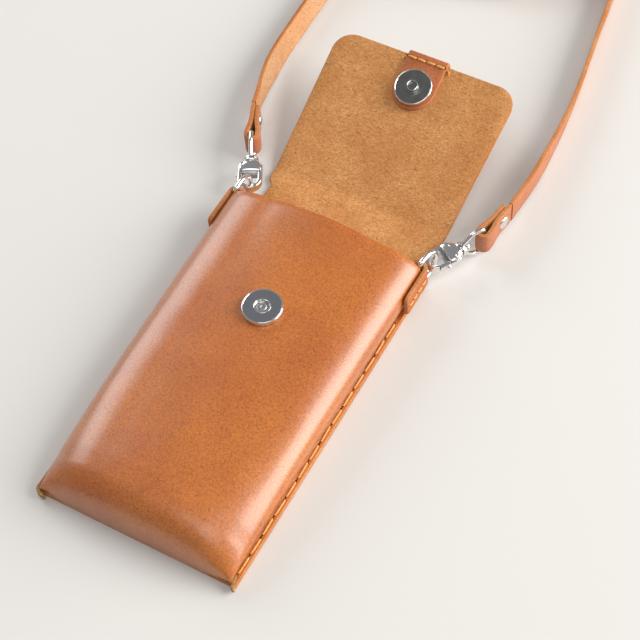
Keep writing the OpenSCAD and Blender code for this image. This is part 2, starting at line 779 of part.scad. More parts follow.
run_x = fit_gap + strap_t / 2;
run_dir_left = [-sin(head_left), cos(head_left), 0];
run_dir_right = [sin(head_right), cos(head_right), 0];
run_left = [[-eye_bar_left[0], eye_bar_left[1], clasp_z] + run_dir_left * joint_len
    + [-cos(head_left), -sin(head_left), 0] * run_x,
  [-72.6, 232, 9.6], [-75.6, 244, 8.8], [-78.4, 260, 7.8], [-79.8, 278, lie_z], [-80.4, 300, lie_z],
  [-79.6, 322, lie_z], [-70, 340, lie_z], [-52, 349, lie_z], coil_start];
run_right = [[eye_bar_right[0], eye_bar_right[1], clasp_z] + run_dir_right * joint_len
    + [cos(head_right), -sin(head_right), 0] * run_x,
  [69.4, 229, 9.7], [69.8, 243, 8.9], [69, 263, 7.8], [67, 288, lie_z], [63.4, 314, lie_z],
  [59, 340, lie_z], [55, 365, lie_z], [51, 386, lie_z], coil_end];

module strap_run_left() {
  color(leather) place() band(run_left, run_dir_left, [1, 0, 0]);
}

module strap_run_right() {
  color(leather) place() band(run_right, run_dir_right, [0, 1, 0]);
}

module strap_coil() {
  color(leather) place() band(coil_points, [1, 0, 0], [0, -1, 0]);
}

// A small band of leather round the two outer strands of the coil
module strap_tie() {
  tie_a = 45;
  tie_w = 8;
  wall = 0.8;
  room = coil_step + strap_t + 4 * move_gap;
  mid = (radius_in(tie_a) + radius_out(tie_a)) / 2 - fit_gap * 2;
  low = lie_z - strap_w / 2 - fit_gap;
  high = lie_z + strap_w / 2 + 2 * fit_gap;
  color(leather) place()
    translate([coil_middle[0], coil_middle[1], 0]) rotate([0, 0, tie_a]) translate([mid, 0, 0])
      difference() {
        translate([-room / 2 - wall, -tie_w / 2, low - wall]) cube([room + 2 * wall, tie_w, high - low + 2 * wall]);
        translate([-room / 2, -tie_w / 2 - over, low]) cube([room, tie_w + 2 * over, high - low]);
      }
}

back_panel();
front_shell();
side_stitches_left();
side_stitches_right();
ring_tab_left();
ring_tab_right();
tab_stitches_left();
tab_stitches_right();
front_snap_socket();
front_snap_magnet();
front_snap_washer();
flap_bridge();
flap_panel();
flap_tab();
flap_tab_stitches();
flap_snap_stud();
flap_snap_washer();
d_ring_left();
d_ring_right();
hook_left();
hook_right();
gate_left();
gate_right();
gate_pin_left();
gate_pin_right();
swivel_eye_left();
swivel_eye_right();
strap_end_left();
strap_end_right();
strap_rivet_left();
strap_rivet_right();
strap_run_left();
strap_run_right();
strap_coil();
strap_tie();
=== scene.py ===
import math

import bmesh
import bpy
from mathutils import Matrix, Vector, noise


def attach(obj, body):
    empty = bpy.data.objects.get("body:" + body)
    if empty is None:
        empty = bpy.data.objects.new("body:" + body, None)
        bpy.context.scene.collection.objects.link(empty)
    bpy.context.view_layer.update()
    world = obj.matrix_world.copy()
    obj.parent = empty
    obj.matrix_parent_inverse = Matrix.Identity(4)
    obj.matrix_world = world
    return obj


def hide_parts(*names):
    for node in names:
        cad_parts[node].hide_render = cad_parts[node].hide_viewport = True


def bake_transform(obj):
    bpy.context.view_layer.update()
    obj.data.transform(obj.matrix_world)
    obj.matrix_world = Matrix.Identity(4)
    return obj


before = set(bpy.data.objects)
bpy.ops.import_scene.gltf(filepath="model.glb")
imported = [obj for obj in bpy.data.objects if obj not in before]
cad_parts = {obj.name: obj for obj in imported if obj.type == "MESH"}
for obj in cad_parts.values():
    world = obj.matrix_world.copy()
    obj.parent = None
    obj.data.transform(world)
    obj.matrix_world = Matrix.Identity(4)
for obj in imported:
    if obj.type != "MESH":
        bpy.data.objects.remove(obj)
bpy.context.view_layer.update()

# The view. A long lens looks down on the pouch from its bottom right corner.
# The pouch lies on a plain pale table, between two large soft windows and under a third.
scene = bpy.context.scene
scene.view_settings.view_transform = "Standard"

view_from = Vector((0.25659, -0.31212, 0.63342))
view_to = Vector((0.01556, 0.0463, 0.0))
view_roll = math.radians(-5.92)
view_back = (view_from - view_to).normalized()
level_right = Vector((0, 0, 1)).cross(view_back).normalized()
level_up = view_back.cross(level_right)
view_right = level_right * math.cos(view_roll) + level_up * math.sin(view_roll)
view_up = level_up * math.cos(view_roll) - level_right * math.sin(view_roll)


def add_object(name, data):
    """A new object in the scene."""
    made = bpy.data.objects.new(name, data)
    scene.collection.objects.link(made)
    return made


camera_data = bpy.data.cameras.new("view")
camera_data.sensor_width = 36
camera_data.lens = 95.18
camera_data.clip_start = 0.05
scene.camera = add_object("view", camera_data)
view_axes = Matrix((view_right, view_up, view_back)).transposed().to_4x4()
scene.camera.matrix_world = Matrix.Translation(view_from) @ view_axes


def soft_window(name, place, size, watts, colour):
    """A rectangular area lamp that faces the pouch."""
    lamp_data = bpy.data.lights.new(name, "AREA")
    lamp_data.shape = "RECTANGLE"
    lamp_data.size, lamp_data.size_y = size
    lamp_data.energy = watts
    lamp_data.color = colour
    lamp = add_object(name, lamp_data)
    lamp.location = place
    lamp.rotation_euler = (Vector((0, 0.05, 0)) - Vector(place)).to_track_quat("-Z", "Y").to_euler()


soft_window("right_window", (2.4, 1.35, 1.3), (2.7, 2.5), 146, (1, 0.98, 0.945))
soft_window("left_window", (-2.35, 1.0, 1.3), (1.7, 1.5), 33, (0.985, 0.99, 1))
soft_window("top_window", (0.7, -0.9, 2.7), (1.8, 1.8), 20, (1, 1, 1))


def feed(node, inputs):
    """Gives the inputs of a node values, or links from other sockets or from a node's first output."""
    for key, value in inputs.items():
        if isinstance(value, bpy.types.Node):
            value = value.outputs[0]
        if isinstance(value, bpy.types.NodeSocket):
            node.id_data.links.new(value, node.inputs[key])
        else:
            node.inputs[key].default_value = value


sky = bpy.data.worlds.new("studio")
sky.use_nodes = True
feed(sky.node_tree.nodes["Background"], {"Color": (0.86, 0.86, 0.87, 1), "Strength": 0.3})
scene.world = sky


def new_material(name):
    """An empty material, with its node tree and its Principled shader."""
    material = bpy.data.materials.new(name)
    material.use_nodes = True
    return material, material.node_tree, material.node_tree.nodes["Principled BSDF"]


table_reach, table_drop = 5, -0.0002
table_paper, _, table_shader = new_material("table_paper")
feed(table_shader, {"Base Color": (0.74, 0.725, 0.695, 1), "Roughness": 0.9, "Specular IOR Level": 0.1})
table_mesh = bpy.data.meshes.new("table")
table_mesh.from_pydata([(x * table_reach, y * table_reach, table_drop)
                        for x, y in ((-1, -1), (1, -1), (1, 1), (-1, 1))], [], [(0, 1, 2, 3)])
table_mesh.materials.append(table_paper)
table = add_object("table", table_mesh)

# The strap. One long band of vegetable-tanned leather, 12 mm wide, that stands on its edge.
# It leaves both clasps in loose curves, and what lies behind the pouch is wound into one flat coil.
BACK_HALF = 86.0
GRAIN, FLESH, EDGE = 0, 1, 2
UP = Vector((0, 0, 1))


def in_frame(point):
    """From millimetres above the bottom fold to metres in the shared frame."""
    return Vector((point[0], point[1] - BACK_HALF, point[2])) * 0.001


def cosine(degrees):
    return math.cos(math.radians(degrees))


def sine(degrees):
    return math.sin(math.radians(degrees))


def make_piece(name, points, faces, face_slots, materials, sharp=40):
    """A piece from points in millimetres, smooth up to the sharp angle, with its faces turned outwards."""
    mesh = bpy.data.meshes.new(name)
    mesh.from_pydata([in_frame(p) for p in points], [], faces)
    for material in materials:
        mesh.materials.append(material)
    mesh.polygons.foreach_set("material_index", face_slots)
    work = bmesh.new()
    work.from_mesh(mesh)
    bmesh.ops.remove_doubles(work, verts=work.verts, dist=1e-6)
    bmesh.ops.recalc_face_normals(work, faces=work.faces)
    work.to_mesh(mesh)
    work.free()
    mesh.shade_smooth()
    mesh.set_sharp_from_angle(angle=math.radians(sharp))
    return add_object(name, mesh)


def headings(line, closed=False):
    """The direction of a line at each of its points."""
    before = line[-1:] + line[:-1] if closed else line[:1] + line[:-1]
    after = line[1:] + line[:1] if closed else line[1:] + line[-1:]
    return [(b - a).normalized() for a, b in zip(before, after)]


def tube_faces(rows, around, closed=False, start=0):
    """The faces between rows of points that go round a line."""
    faces = []
    for i in range(rows if closed else rows - 1):
        here, there = start + i * around, start + (i + 1) % rows * around
        for k in range(around):
            n = (k + 1) % around
            faces.append((here + k, here + n, there + n, there + k))
    return faces


def strip_section(half_width, half_thick, across):
    """The outline of a cut strip: a flat outer and inner side and two rounded rims."""
    rim_depth, rim_swell = 0.55, 1.02
    rim = half_thick * rim_depth
    flat = half_width - rim
    outline, slots = [], []
    for face, slot in ((1, GRAIN), (-1, FLESH)):
        outline += [(face * (-flat + 2 * flat * i / across), face * half_thick) for i in range(across + 1)]
        outline += [(face * (flat + rim * cosine(a) ** 0.6), half_thick * sine(a) * rim_swell)
                    for a in (50 * face, 0, -50 * face)]
        slots += [slot] * across + [EDGE] * 4
    return outline, slots


def strip_piece(name, line, widths, thick, width_ways, materials, across=4, closed=False, place=None,
                blunt=True):
    """A strip of leather along a line. Its width lies along width_ways, its grain side at width x line."""
    line = [Vector(p) for p in line]
    ends = () if closed else (0, len(line) - 1)
    end_share = 0.55 if blunt else 1
    points = []
    for i, ahead in enumerate(headings(line, closed)):
        width_way = width_ways[i] if isinstance(width_ways, list) else Vector(width_ways)
        out = width_way.cross(ahead).normalized()
        side = ahead.cross(out).normalized()
        half = widths[i] if isinstance(widths, list) else widths
        thin = thick / 2 * (end_share if i in ends else 1)
        outline, slots = strip_section(half, thin, across)
        row = [line[i] + side * a + out * b for a, b in outline]
        points += [place(p) for p in row] if place else row
    around = len(outline)
    faces = tube_faces(len(line), around, closed)
    face_slots = slots * (len(faces) // around)
    for end in ends:
        here = end * around
        left = here + 2 * across + 4
        faces += [(here + j, here + j + 1, left - j - 1, left - j) for j in range(across)]
        faces += [tuple(here + across + k for k in range(5)), (left, left + 1, left + 2, left + 3, here)]
        face_slots += [EDGE] * (across + 2)
    return make_piece(name, points, faces, face_slots, materials, sharp=50)


def smooth_line(knots, step):
    """An even line of points through the knots."""
    knots = [Vector(k) for k in knots]
    fine, steps = [], 12
    for i in range(len(knots) - 1):
        p0 = knots[i - 1] if i else knots[0] * 2 - knots[1]
        p1, p2 = knots[i], knots[i + 1]
        p3 = knots[i + 2] if i + 2 < len(knots) else p2 * 2 - p1
        for k in range(steps):
            t = k / steps
            fine.append(0.5 * (2 * p1 + (p2 - p0) * t + (2 * p0 - 5 * p1 + 4 * p2 - p3) * t * t
                               + (3 * p1 - p0 - 3 * p2 + p3) * t ** 3))
    fine.append(knots[-1])
    gone = [0.0]
    for a, b in zip(fine, fine[1:]):
        gone.append(gone[-1] + (b - a).length)
    count = max(2, round(gone[-1] / step))
    even, at = [], 0
    for i in range(count + 1):
        want = gone[-1] * i / count
        while at < len(gone) - 2 and gone[at + 1] < want:
            at += 1
        share = (want - gone[at]) / max(gone[at + 1] - gone[at], 1e-9)
        even.append(fine[at].lerp(fine[at + 1], share))
    return even


def dress(piece, body, slot, *nodes):
    """Puts a piece on its body, in place of the plain solids that it stands for; the slot is not used."""
    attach(piece, body)
    if nodes:
        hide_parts(*nodes)


strap_width, strap_thick = 12.0, 2.2
coil_middle, coil_radius, coil_step, coil_turn = Vector((-22, 418)), 60, 5, 170
lie_height = 6.3


def on_coil(radius, angle, middle=coil_middle):
    return (middle.x + radius * cosine(angle), middle.y + radius * sine(angle), lie_height)


def wound(angle):
    """Radius of the winding at an angle: each turn lies outside the one before."""
    return coil_radius + 2 * coil_step * angle / 360


half_way = Vector((cosine(coil_turn), sine(coil_turn))) * coil_radius / 2
coil_in = [on_coil(wound(coil_turn - a), a) for a in [-90 + (coil_turn + 90) * k / 22 for k in range(23)]]
coil_back = ([on_coil(coil_radius / 2, coil_turn + 12 * k, coil_middle + half_way) for k in range(1, 16)]
             + [on_coil(coil_radius / 2, coil_turn - 12 * k, coil_middle - half_way) for k in range(1, 16)])
coil_out = [on_coil(wound(coil_turn + 180 - a), a)
            for a in [(coil_turn + 180) * (1 - k / 29) for k in range(1, 30)]]
left_run = [(-69.42, 220.84, 10), (-72.6, 232, 9.4), (-75.6, 244, 8.4), (-78.4, 260, 7.2)]
left_run += [(x, y, lie_height) for x, y in (
    (-79.8, 278), (-80.4, 300), (-79.6, 322), (-70, 340), (-52, 349), (-34, 350.778))]
right_run = [(68.833, 219.325, 10), (69.4, 229, 9.5), (69.8, 243, 8.5), (69, 263, 7.2)]
right_run += [(x, y, lie_height) for x, y in (
    (67, 288), (63.4, 314), (59, 340), (55, 365), (51, 386), (47.722, 406))]
strap_line = smooth_line(left_run + coil_in + coil_back + coil_out + right_run[::-1], 2.0)
strap_length = sum((b - a).length for a, b in zip(strap_line, strap_line[1:]))


def strap_lean(gone):
    """How far the band leans, in degrees: the side that shows turns up near both clasps."""
    left, right = gone - 8, strap_length - gone
    lean = 20 * min(1, max(0, left / 22)) * max(0, 1 - max(0, left - 95) / 40)
    return lean + 9 * min(1, max(0, (right - 35) / 35)) * max(0, min(1, (175 - right) / 45))


strap_up = []
for i, ahead in enumerate(headings(strap_line)):
    lean = strap_lean(strap_length * i / (len(strap_line) - 1))
    strap_up.append(UP * cosine(lean) + UP.cross(ahead).normalized() * sine(lean))


def new_group(name, tree_kind, inputs, outputs):
    """A node group with named sockets; returns it, the sockets that feed it by name and its end node."""
    group = bpy.data.node_groups.new(name, tree_kind)
    for socket, kind, *value in inputs:
        made = group.interface.new_socket(name=socket, in_out="INPUT", socket_type=kind)
        if value:
            made.default_value = value[0]
    for socket, kind in outputs:
        group.interface.new_socket(name=socket, in_out="OUTPUT", socket_type=kind)
    start, end = group.nodes.new("NodeGroupInput"), group.nodes.new("NodeGroupOutput")
    return group, {given[0]: start.outputs[given[0]] for given in inputs}, end


def add_node(tree, kind, inputs=None, **settings):
    """One node with its settings and what its inputs hold or are linked to."""
    node = tree.nodes.new(kind)
    for key, value in settings.items():
        setattr(node, key, value)
    feed(node, inputs or {})
    return node


def object_place(tree):
    return add_node(tree, "ShaderNodeTexCoord").outputs["Object"]


def noise_at(tree, place, scale, **values):
    return add_node(tree, "ShaderNodeTexNoise", {"Vector": place, "Scale": scale, **values})


def spread(tree, source, low, high, most=1.0):
    """A mask that runs from nothing at one value of the source to the most at another."""
    return add_node(tree, "ShaderNodeMapRange", {"Value": source, "From Min": low, "From Max": high,
                                                 "To Max": most})


def scaled(tree, source, factor, more):
    """The source times a factor, and something more."""
    return add_node(tree, "ShaderNodeMath", {0: source, 1: factor, 2: more}, operation="MULTIPLY_ADD")


def mixed(tree, share, first, second):
    """The first colour with a share of the second."""
    return add_node(tree, "ShaderNodeMix", {"Factor": share, "A": first, "B": second},
                    data_type="RGBA").outputs["Result"]


def tone(red, green, blue):
    """A colour as a painter names it, from 0 to 255, in linear light."""
    linear = [((c / 255 + 0.055) / 1.055) ** 2.4 if c > 10 else c / 255 / 12.92 for c in (red, green, blue)]
    return (*linear, 1)


COLOUR, NUMBER = "NodeSocketColor", "NodeSocketFloat"
TONES = ("Pale", "Middle", "Deep")
tone_sockets = [(name, COLOUR, (1, 1, 1, 1)) for name in TONES]

# The grain side: broad clouds of the dye, fine wrinkles between the pores and a slightly uneven wax
grain_group, grain_given, grain_out = new_group(
    "Leather grain", "ShaderNodeTree",
    tone_sockets + [("Cloud size", NUMBER, 40.0), ("Grain size", NUMBER, 900.0), ("Gloss", NUMBER, 0.4)],
    [("Color", COLOUR), ("Roughness", NUMBER), ("Height", NUMBER)])
pale, middle, deep, cloud_size, grain_size, gloss = grain_given.values()
place = object_place(grain_group)
clouds = noise_at(grain_group, place, cloud_size, Detail=3.0, Roughness=0.6)
specks = noise_at(grain_group, place, grain_size, Detail=4.0, Roughness=0.65, Distortion=0.6)
stray_reach = 0.0022
stray = add_node(grain_group, "ShaderNodeVectorMath",
                 {0: specks.outputs["Color"], 1: (stray_reach,) * 3, 2: place}, operation="MULTIPLY_ADD")
cells = add_node(grain_group, "ShaderNodeTexVoronoi",
                 {"Vector": stray, "Scale": grain_size, "Randomness": 1.0}, feature="DISTANCE_TO_EDGE")
cloud_tone = mixed(grain_group, spread(grain_group, clouds, 0.36, 0.66), middle, pale)
speck_share = scaled(grain_group, spread(grain_group, specks, 0.34, 0.64), -0.7, 0.7)
grain_tone = mixed(grain_group, speck_share, cloud_tone, deep)
wrinkle_mask = spread(grain_group, cells, 0.16, 0.02, 0.55)
feed(grain_out, {"Color": mixed(grain_group, wrinkle_mask, grain_tone, pale),
                 "Roughness": scaled(grain_group, specks, 0.1, gloss),
                 "Height": scaled(grain_group, cells, 0.45, specks)})


def bumped(tree, height, relief, depth):
    return add_node(tree, "ShaderNodeBump", {"Strength": relief, "Distance": depth, "Height": height})


def effect_material(name, group, settings, relief, depth, own):
    """A material with its looks from an effect group and some values of its own."""
    material, tree, shader = new_material(name)
    effect = add_node(tree, "ShaderNodeGroup", node_tree=group)
    feed(effect, settings)
    bump = bumped(tree, effect.outputs["Height"], relief, depth)
    feed(shader, {"Normal": bump, **own})
    for output, socket in (("Color", "Base Color"), ("Roughness", "Roughness")):
        if output in effect.outputs:
            feed(shader, {socket: effect.outputs[output]})
    return material


def painted(*colours):
    return {key: tone(*colour) for key, colour in zip(TONES, colours)}


def grain_leather(name, pale, middle, deep, cloud_size, grain_size, gloss, relief, polish=0.0):
    """The smooth outer side of a hide."""
    settings = {"Cloud size": cloud_size, "Grain size": grain_size, "Gloss": gloss}
    return effect_material(name, grain_group, {**painted(pale, middle, deep), **settings}, relief, 0.0002,
                           {"Coat Weight": polish, "Coat Roughness": 0.29, "Coat IOR": 1.6})


# The flesh side: short loose fibres, with darker pits between them and no shine
fibre_group, fibre_given, fibre_out = new_group(
    "Flesh fibres", "ShaderNodeTree", tone_sockets + [("Fibre size", NUMBER, 700.0)],
    [("Color", COLOUR), ("Height", NUMBER)])
pale, middle, deep, fibre_size = fibre_given.values()
place = object_place(fibre_group)
stretched = add_node(fibre_group, "ShaderNodeMapping", {"Vector": place, "Scale": (1.0, 1.7, 1.0)})
fibres = noise_at(fibre_group, stretched, fibre_size, Detail=5.0, Roughness=0.7, Distortion=1.4)
patches = noise_at(fibre_group, place, 55.0, Detail=3.0)
patch_tone = mixed(fibre_group, spread(fibre_group, patches, 0.38, 0.64), middle, pale)
pit_mask = spread(fibre_group, fibres, 0.6, 0.34, 0.9)
feed(fibre_out, {"Color": mixed(fibre_group, pit_mask, patch_tone, deep), "Height": fibres})


def flesh_leather(name, pale, middle, deep, fibre_size, relief):
    """The matt inner side or a cut edge of a hide."""
    settings = {**painted(pale, middle, deep), "Fibre size": fibre_size}
    return effect_material(name, fibre_group, settings, relief, 0.0004,
                           {"Roughness": 0.85, "Specular IOR Level": 0.25})


strap_grain = grain_leather("strap_grain", (200, 130, 94), (186, 112, 74), (142, 72, 42), cloud_size=60,
                            grain_size=1100, gloss=0.52, relief=0.5)
strap_flesh = flesh_leather("strap_flesh", (222, 176, 134), (212, 160, 114), (166, 108, 64), 800, 0.8)
cut_edge = flesh_leather("cut_edge", (222, 156, 102), (206, 134, 80), (142, 78, 40), 1500, 0.5)
strap_leather = [strap_grain, strap_flesh, cut_edge]

strap = strip_piece("strap", strap_line, strap_width / 2, strap_thick, strap_up, strap_leather, blunt=False)
dress(strap, "pouch", "strap_leather", "strap_run_left", "strap_run_right", "strap_coil")

# The tie. A short offcut of the strap's leather, glued into a loop.
# It holds the two outer strands of the coil together.
tie_angle, tie_room, tie_rise, tie_wall, tie_corner = 45, 8.4, 12.3, 0.8, 1.2
tie_reach, tie_height, tie_half = 65.77, 7.05, 4


def rounded_box(half_x, half_z, corner, turns=(0, 22.5, 45, 67.5, 90)):
    """The outline of a box with round corners."""
    corners = ((1, 1, 0), (-1, 1, 90), (-1, -1, 180), (1, -1, 270))
    return [((half_x - corner) * side_x + corner * cosine(start + a),
             (half_z - corner) * side_z + corner * sine(start + a))
            for side_x, side_z, start in corners for a in turns]


tie_line = rounded_box((tie_room + tie_wall) / 2, (tie_rise + tie_wall) / 2, tie_corner)
tie_out = Vector((cosine(tie_angle), sine(tie_angle), 0))
tie_along = Vector((-sine(tie_angle), cosine(tie_angle), 0))
tie_points = [coil_middle.to_3d() + tie_out * (tie_reach + a) + UP * (tie_height + b) for a, b in tie_line]
strap_tie = strip_piece("coil_tie", tie_points, tie_half, tie_wall, -tie_along, strap_leather, across=2,
                        closed=True)
dress(strap_tie, "pouch", "strap_leather", "strap_tie")

# The strap ends. Each end folds round the bar of its clasp and lies back on itself.
# Nickel rivets hold the two layers together.
fold_radius, layer_gap = 2.7, 1.2
fold_line = [(layer_gap, y) for y in (19.985, 17, 14, 11)]
fold_line += [(1.35, 8.6), (1.75, 6.4), (2.25, 4.2), (2.6, 2)]
fold_line += [(fold_radius * cosine(-12 - 22.3 * k), fold_radius * sine(-12 - 22.3 * k)) for k in range(8)]
fold_line += [(-x, y) for x, y in fold_line[7::-1] if y < 17.5]
fold_line.append((-layer_gap, 18.0))
eye_bar = {"left": (60.195, 203.071, 10), "right": (64.522, 199.774, 10)}
strap_heading = {"left": 24, "right": 9}
SIDES = {"left": -1, "right": 1}


def lathe_piece(name, outline, place, materials, slots=None, around=64):
    """A turned piece: its outline is radius and height, and starts and ends on the axis."""
    turns = [2 * math.pi * k / around for k in range(around)]
    points = [place(Vector((radius * math.cos(a), radius * math.sin(a), height)))
              for radius, height in outline for a in turns]
    face_slots = [slot for slot in slots or [0] * (len(outline) - 1) for a in turns]
    return make_piece(name, points, tube_faces(len(outline), around), face_slots, materials, sharp=35)


# Bright nickel: an even plating with faint polishing marks
metal_group, metal_given, metal_out = new_group(
    "Polished plating", "ShaderNodeTree",
    [("Rub size", NUMBER, 900.0), ("Least", NUMBER, 0.06), ("Most", NUMBER, 0.2)],
    [("Roughness", NUMBER), ("Height", NUMBER)])
rub_size, least, most = metal_given.values()
rubs = noise_at(metal_group, object_place(metal_group), rub_size, Detail=3.0)
rub_range = add_node(metal_group, "ShaderNodeMapRange", {"Value": rubs, "To Min": least, "To Max": most})
feed(metal_out, {"Roughness": rub_range, "Height": rubs})


def plated_metal(name, colour, least, most, rub_size=900, relief=0.02):
    """A plated metal part."""
    return effect_material(name, metal_group, {"Rub size": rub_size, "Least": least, "Most": most},
                           relief, 0.0001, {"Base Color": (*colour, 1), "Metallic": 1})


bright_nickel = plated_metal("bright_nickel", (0.86, 0.85, 0.84), 0.1, 0.22)


def swung_out(origin, sign, out):
    """Places the points of a part that lies along Y and swings outwards at its origin, to either side."""
    def place(p):
        x = p[0] * cosine(out) + p[1] * sine(out)
        y = -p[0] * sine(out) + p[1] * cosine(out)
        return Vector(((origin[0] + x) * sign, origin[1] + y, origin[2] + p[2]))
    return place


on_strap = []
rivet_along, rivet_radius, rivet_rise = 13, 3.25, 1.17
cap_outline = [(rivet_radius * sine(a), 2.3 + rivet_rise * cosine(a)) for a in range(0, 91, 10)]
cap_outline += [(rivet_radius - 0.3, 2.18), (1.3, 2.18)]
rivet_outline = cap_outline + [(r, -h) for r, h in reversed(cap_outline)]
for side, sign in SIDES.items():
    on_end = swung_out(eye_bar[side], sign, strap_heading[side])
    end = strip_piece(f"strap_fold_{side}", [(x, y, 0) for x, y in fold_line], strap_width / 2, strap_thick,
                      UP, strap_leather, place=on_end)
    dress(end, "pouch", "strap_leather", f"strap_end_{side}")
    rivet = lathe_piece(f"rivet_{side}", rivet_outline, lambda p: on_end((p.z, rivet_along + p.x, p.y)),
                        [bright_nickel], around=40)
    dress(rivet, "pouch", "nickel", f"strap_rivet_{side}")
    on_strap += [end, rivet]

# The back, the bridge and the flap. One long piece of the body leather, 2 mm thick, flesh side up.
# It has two creases, behind the mouth and at the root of the raised flap; it is drawn as two strips, bent
# only at the second crease.
body_flesh = flesh_leather("body_flesh", (238, 176, 112), (222, 156, 94), (162, 96, 48), 760, 1.1)
body_grain = grain_leather("body_grain", (208, 119, 35), (184, 94, 19), (116, 48, 6), cloud_size=30,
                           grain_size=1000, gloss=0.38, relief=0.6, polish=1.0)
body_leather = [body_grain, body_flesh, cut_edge]

leather_thick = 2.0
back_half, bridge_half, flap_half = 49.5, 46.0, 48.0
back_end, waist_start, waist_end, waist_run, waist_depth = 170, 174.2, 194, 5.5, 3.2
flap_crease, flap_length, flap_corner = 199.5, 77.0, 10.0
flap_lift = math.radians(20)
bend_radius = 11.0


def panel_half(along):
    """Half width of the long panel at a distance from the bottom fold."""
    left = flap_crease + flap_length - along
    if left < flap_corner:
        return flap_half - flap_corner + math.sqrt(max(0.0, flap_corner ** 2 - (flap_corner - left) ** 2))
    if along < back_end:
        return back_half
    if along < flap_crease:
        root = back_half + (bridge_half - back_half) * min(1, (along - back_end) / 2)
        inside = min(along - waist_start, waist_end - along) / waist_run
        waist = min(1, max(0, inside))
        return root - waist_depth * waist * waist * (3 - 2 * waist)
    widened = min(1, (along - flap_crease) / (flap_length - flap_corner))
    return bridge_half + (flap_half - bridge_half) * widened


def panel_point(along):
    """The middle of the long panel's thickness at a distance from the bottom fold."""
    bend = bend_radius * flap_lift
    start = flap_crease - bend_radius * math.tan(flap_lift / 2)
    if along <= start:
        return (0, along, 1)
    turned = min(1, (along - start) / bend) * flap_lift
    y = start + bend_radius * math.sin(turned)
    z = 1 + bend_radius * (1 - math.cos(turned))
    rest = max(0, along - start - bend)
    return (0, y + rest * math.cos(turned), z + rest * math.sin(turned))


split_at = 185.5
low_stations = [0, 0.6, 3] + [6 + 4 * k for k in range(40)] + [166.5 + 0.5 * k for k in range(20)]
low_stations += [178, 182, split_at]
high_stations = [split_at, 188] + [190 + 0.75 * k for k in range(24)] + [210 + 3.5 * k for k in range(14)]
high_stations += [flap_crease + flap_length - flap_corner * (1 - sine(6 * k)) for k in range(15)]
high_stations += [flap_crease + flap_length - 0.02]
for name, stations, nodes, body, hinge in (
        ("back_leather", low_stations, ["back_panel", "flap_bridge"], ("pouch", "bridge"), (169, 175)),
        ("flap_leather", high_stations, ["flap_panel"], ("bridge", "flap"), (195, 204))):
    panel = strip_piece(name, [panel_point(s) for s in stations], [panel_half(s) for s in stations],
                        leather_thick, (-1, 0, 0), body_leather, across=16, blunt=False)
    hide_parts(*nodes)
    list(body)
    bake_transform(panel)

# The front. A wet-moulded shell of the same leather stands on the back along two sewn feet.
# Its sides swell at the mouth, and its bottom corners are cut and folded, so raw edges show there.
front_length, body_height, bottom_height = 166.8, 25.0, 21.5
crown_rise, mouth_crown, swell = 1.2, 1.9, 2.2
bottom_radius, foot_line, shoulder = 15.5, 46.5, 22.5
low_angles = (78, 66, 54, 43, 32, 21, 10)
edge_angles = (0, 7, 14, 21, 29, 37, 45, 54, 63, 72, 81, 90)
sunk_share, sunk_reach = 0.42, 75


def half_outline(share, height, base, inset, crown):
    """Half of a cross section: foot, low wall, shoulder and top, from the sewn edge to the middle."""
    pinch = (1 - share) ** 3
    middle = base + (0.48 - 0.2 * pinch) * (height - base)
    wall = foot_line + 1.2 + swell * share ** 1.5
    half = [(back_half, base), (48.7, base), (47.7 - inset * 0.4, base), (foot_line + 0.35 - inset, base)]
    half += [(foot_line - inset + (wall - foot_line) * cosine(b) ** 1.6, middle - (middle - base) * sine(b))
             for b in low_angles]
    half += [(wall - inset - (shoulder - inset) * (1 - cosine(a)), middle + (height - middle) * sine(a))
             for a in range(0, 91, 9)]
    half += [((wall - shoulder) * k / 8, height + crown * (1 - (k / 8) ** 2)) for k in range(7, -1, -1)]
    return half


def whole_row(y, share, height, base, inset, crown):
    """A cross section from one sewn edge to the other, sunk towards the two bottom corners."""
    half = half_outline(share, height, base, inset, crown)
    sunk = sunk_share * max(0, 1 - y / sunk_reach) ** 2
    half = [(x, base + (z - base) * (1 - sunk * min(1, x / foot_line) ** 4)) for x, z in half]
    return [Vector((x, y, z)) for x, z in half] + [Vector((-x, y, z)) for x, z in half[-2::-1]]


def shell_rows(inset, base):
    """One skin of the shell: round the bottom's edge, then along to the mouth, where the middle rises."""
    radius = bottom_radius - inset
    rows = [whole_row(inset + radius * (1 - cosine(a)), 0, bottom_height - inset - radius * (1 - sine(a)),
                      base, inset, crown_rise * sine(a)) for a in edge_angles]
    for k in range(1, 45):
        y = bottom_radius + (front_length - bottom_radius) * k / 44
        share = y / front_length
        height = bottom_height + (body_height - bottom_height) * sine(90 * share) - inset
        crown = crown_rise + mouth_crown * max(0, (share - 0.72) / 0.28) ** 2
        rows.append(whole_row(y, share, height, base, inset, crown))
    return rows


outer_rows = shell_rows(0, 2 * leather_thick)
inner_rows = shell_rows(leather_thick, leather_thick)
feet_top, hollow_depth = 6, 0.45


def settled(point):
    """Small uneven hollows that handling has left in the moulded leather, above its stiff feet."""
    if point.z < feet_top:
        return point
    hollow = noise.noise(Vector((point.x / 34, point.y / 46, 2.7)))
    hollow += 0.4 * noise.noise(Vector((point.x / 13, point.y / 17, 8.1)))
    return point + UP * hollow_depth * hollow * min(1, (point.z - feet_top) / 12)


shell_points, shell_faces, shell_slots = [], [], []


def add_grid(rows, slot, move=None):
    """Joins rows of points into a skin."""
    start = len(shell_points)
    width = len(rows[0])
    for row in rows:
        shell_points.extend([move(p) if move else p for p in row])
    for i in range(len(rows) - 1):
        for j in range(width - 1):
            a = start + i * width + j
            shell_faces.append((a, a + 1, a + width + 1, a + width))
            shell_slots.append(slot)


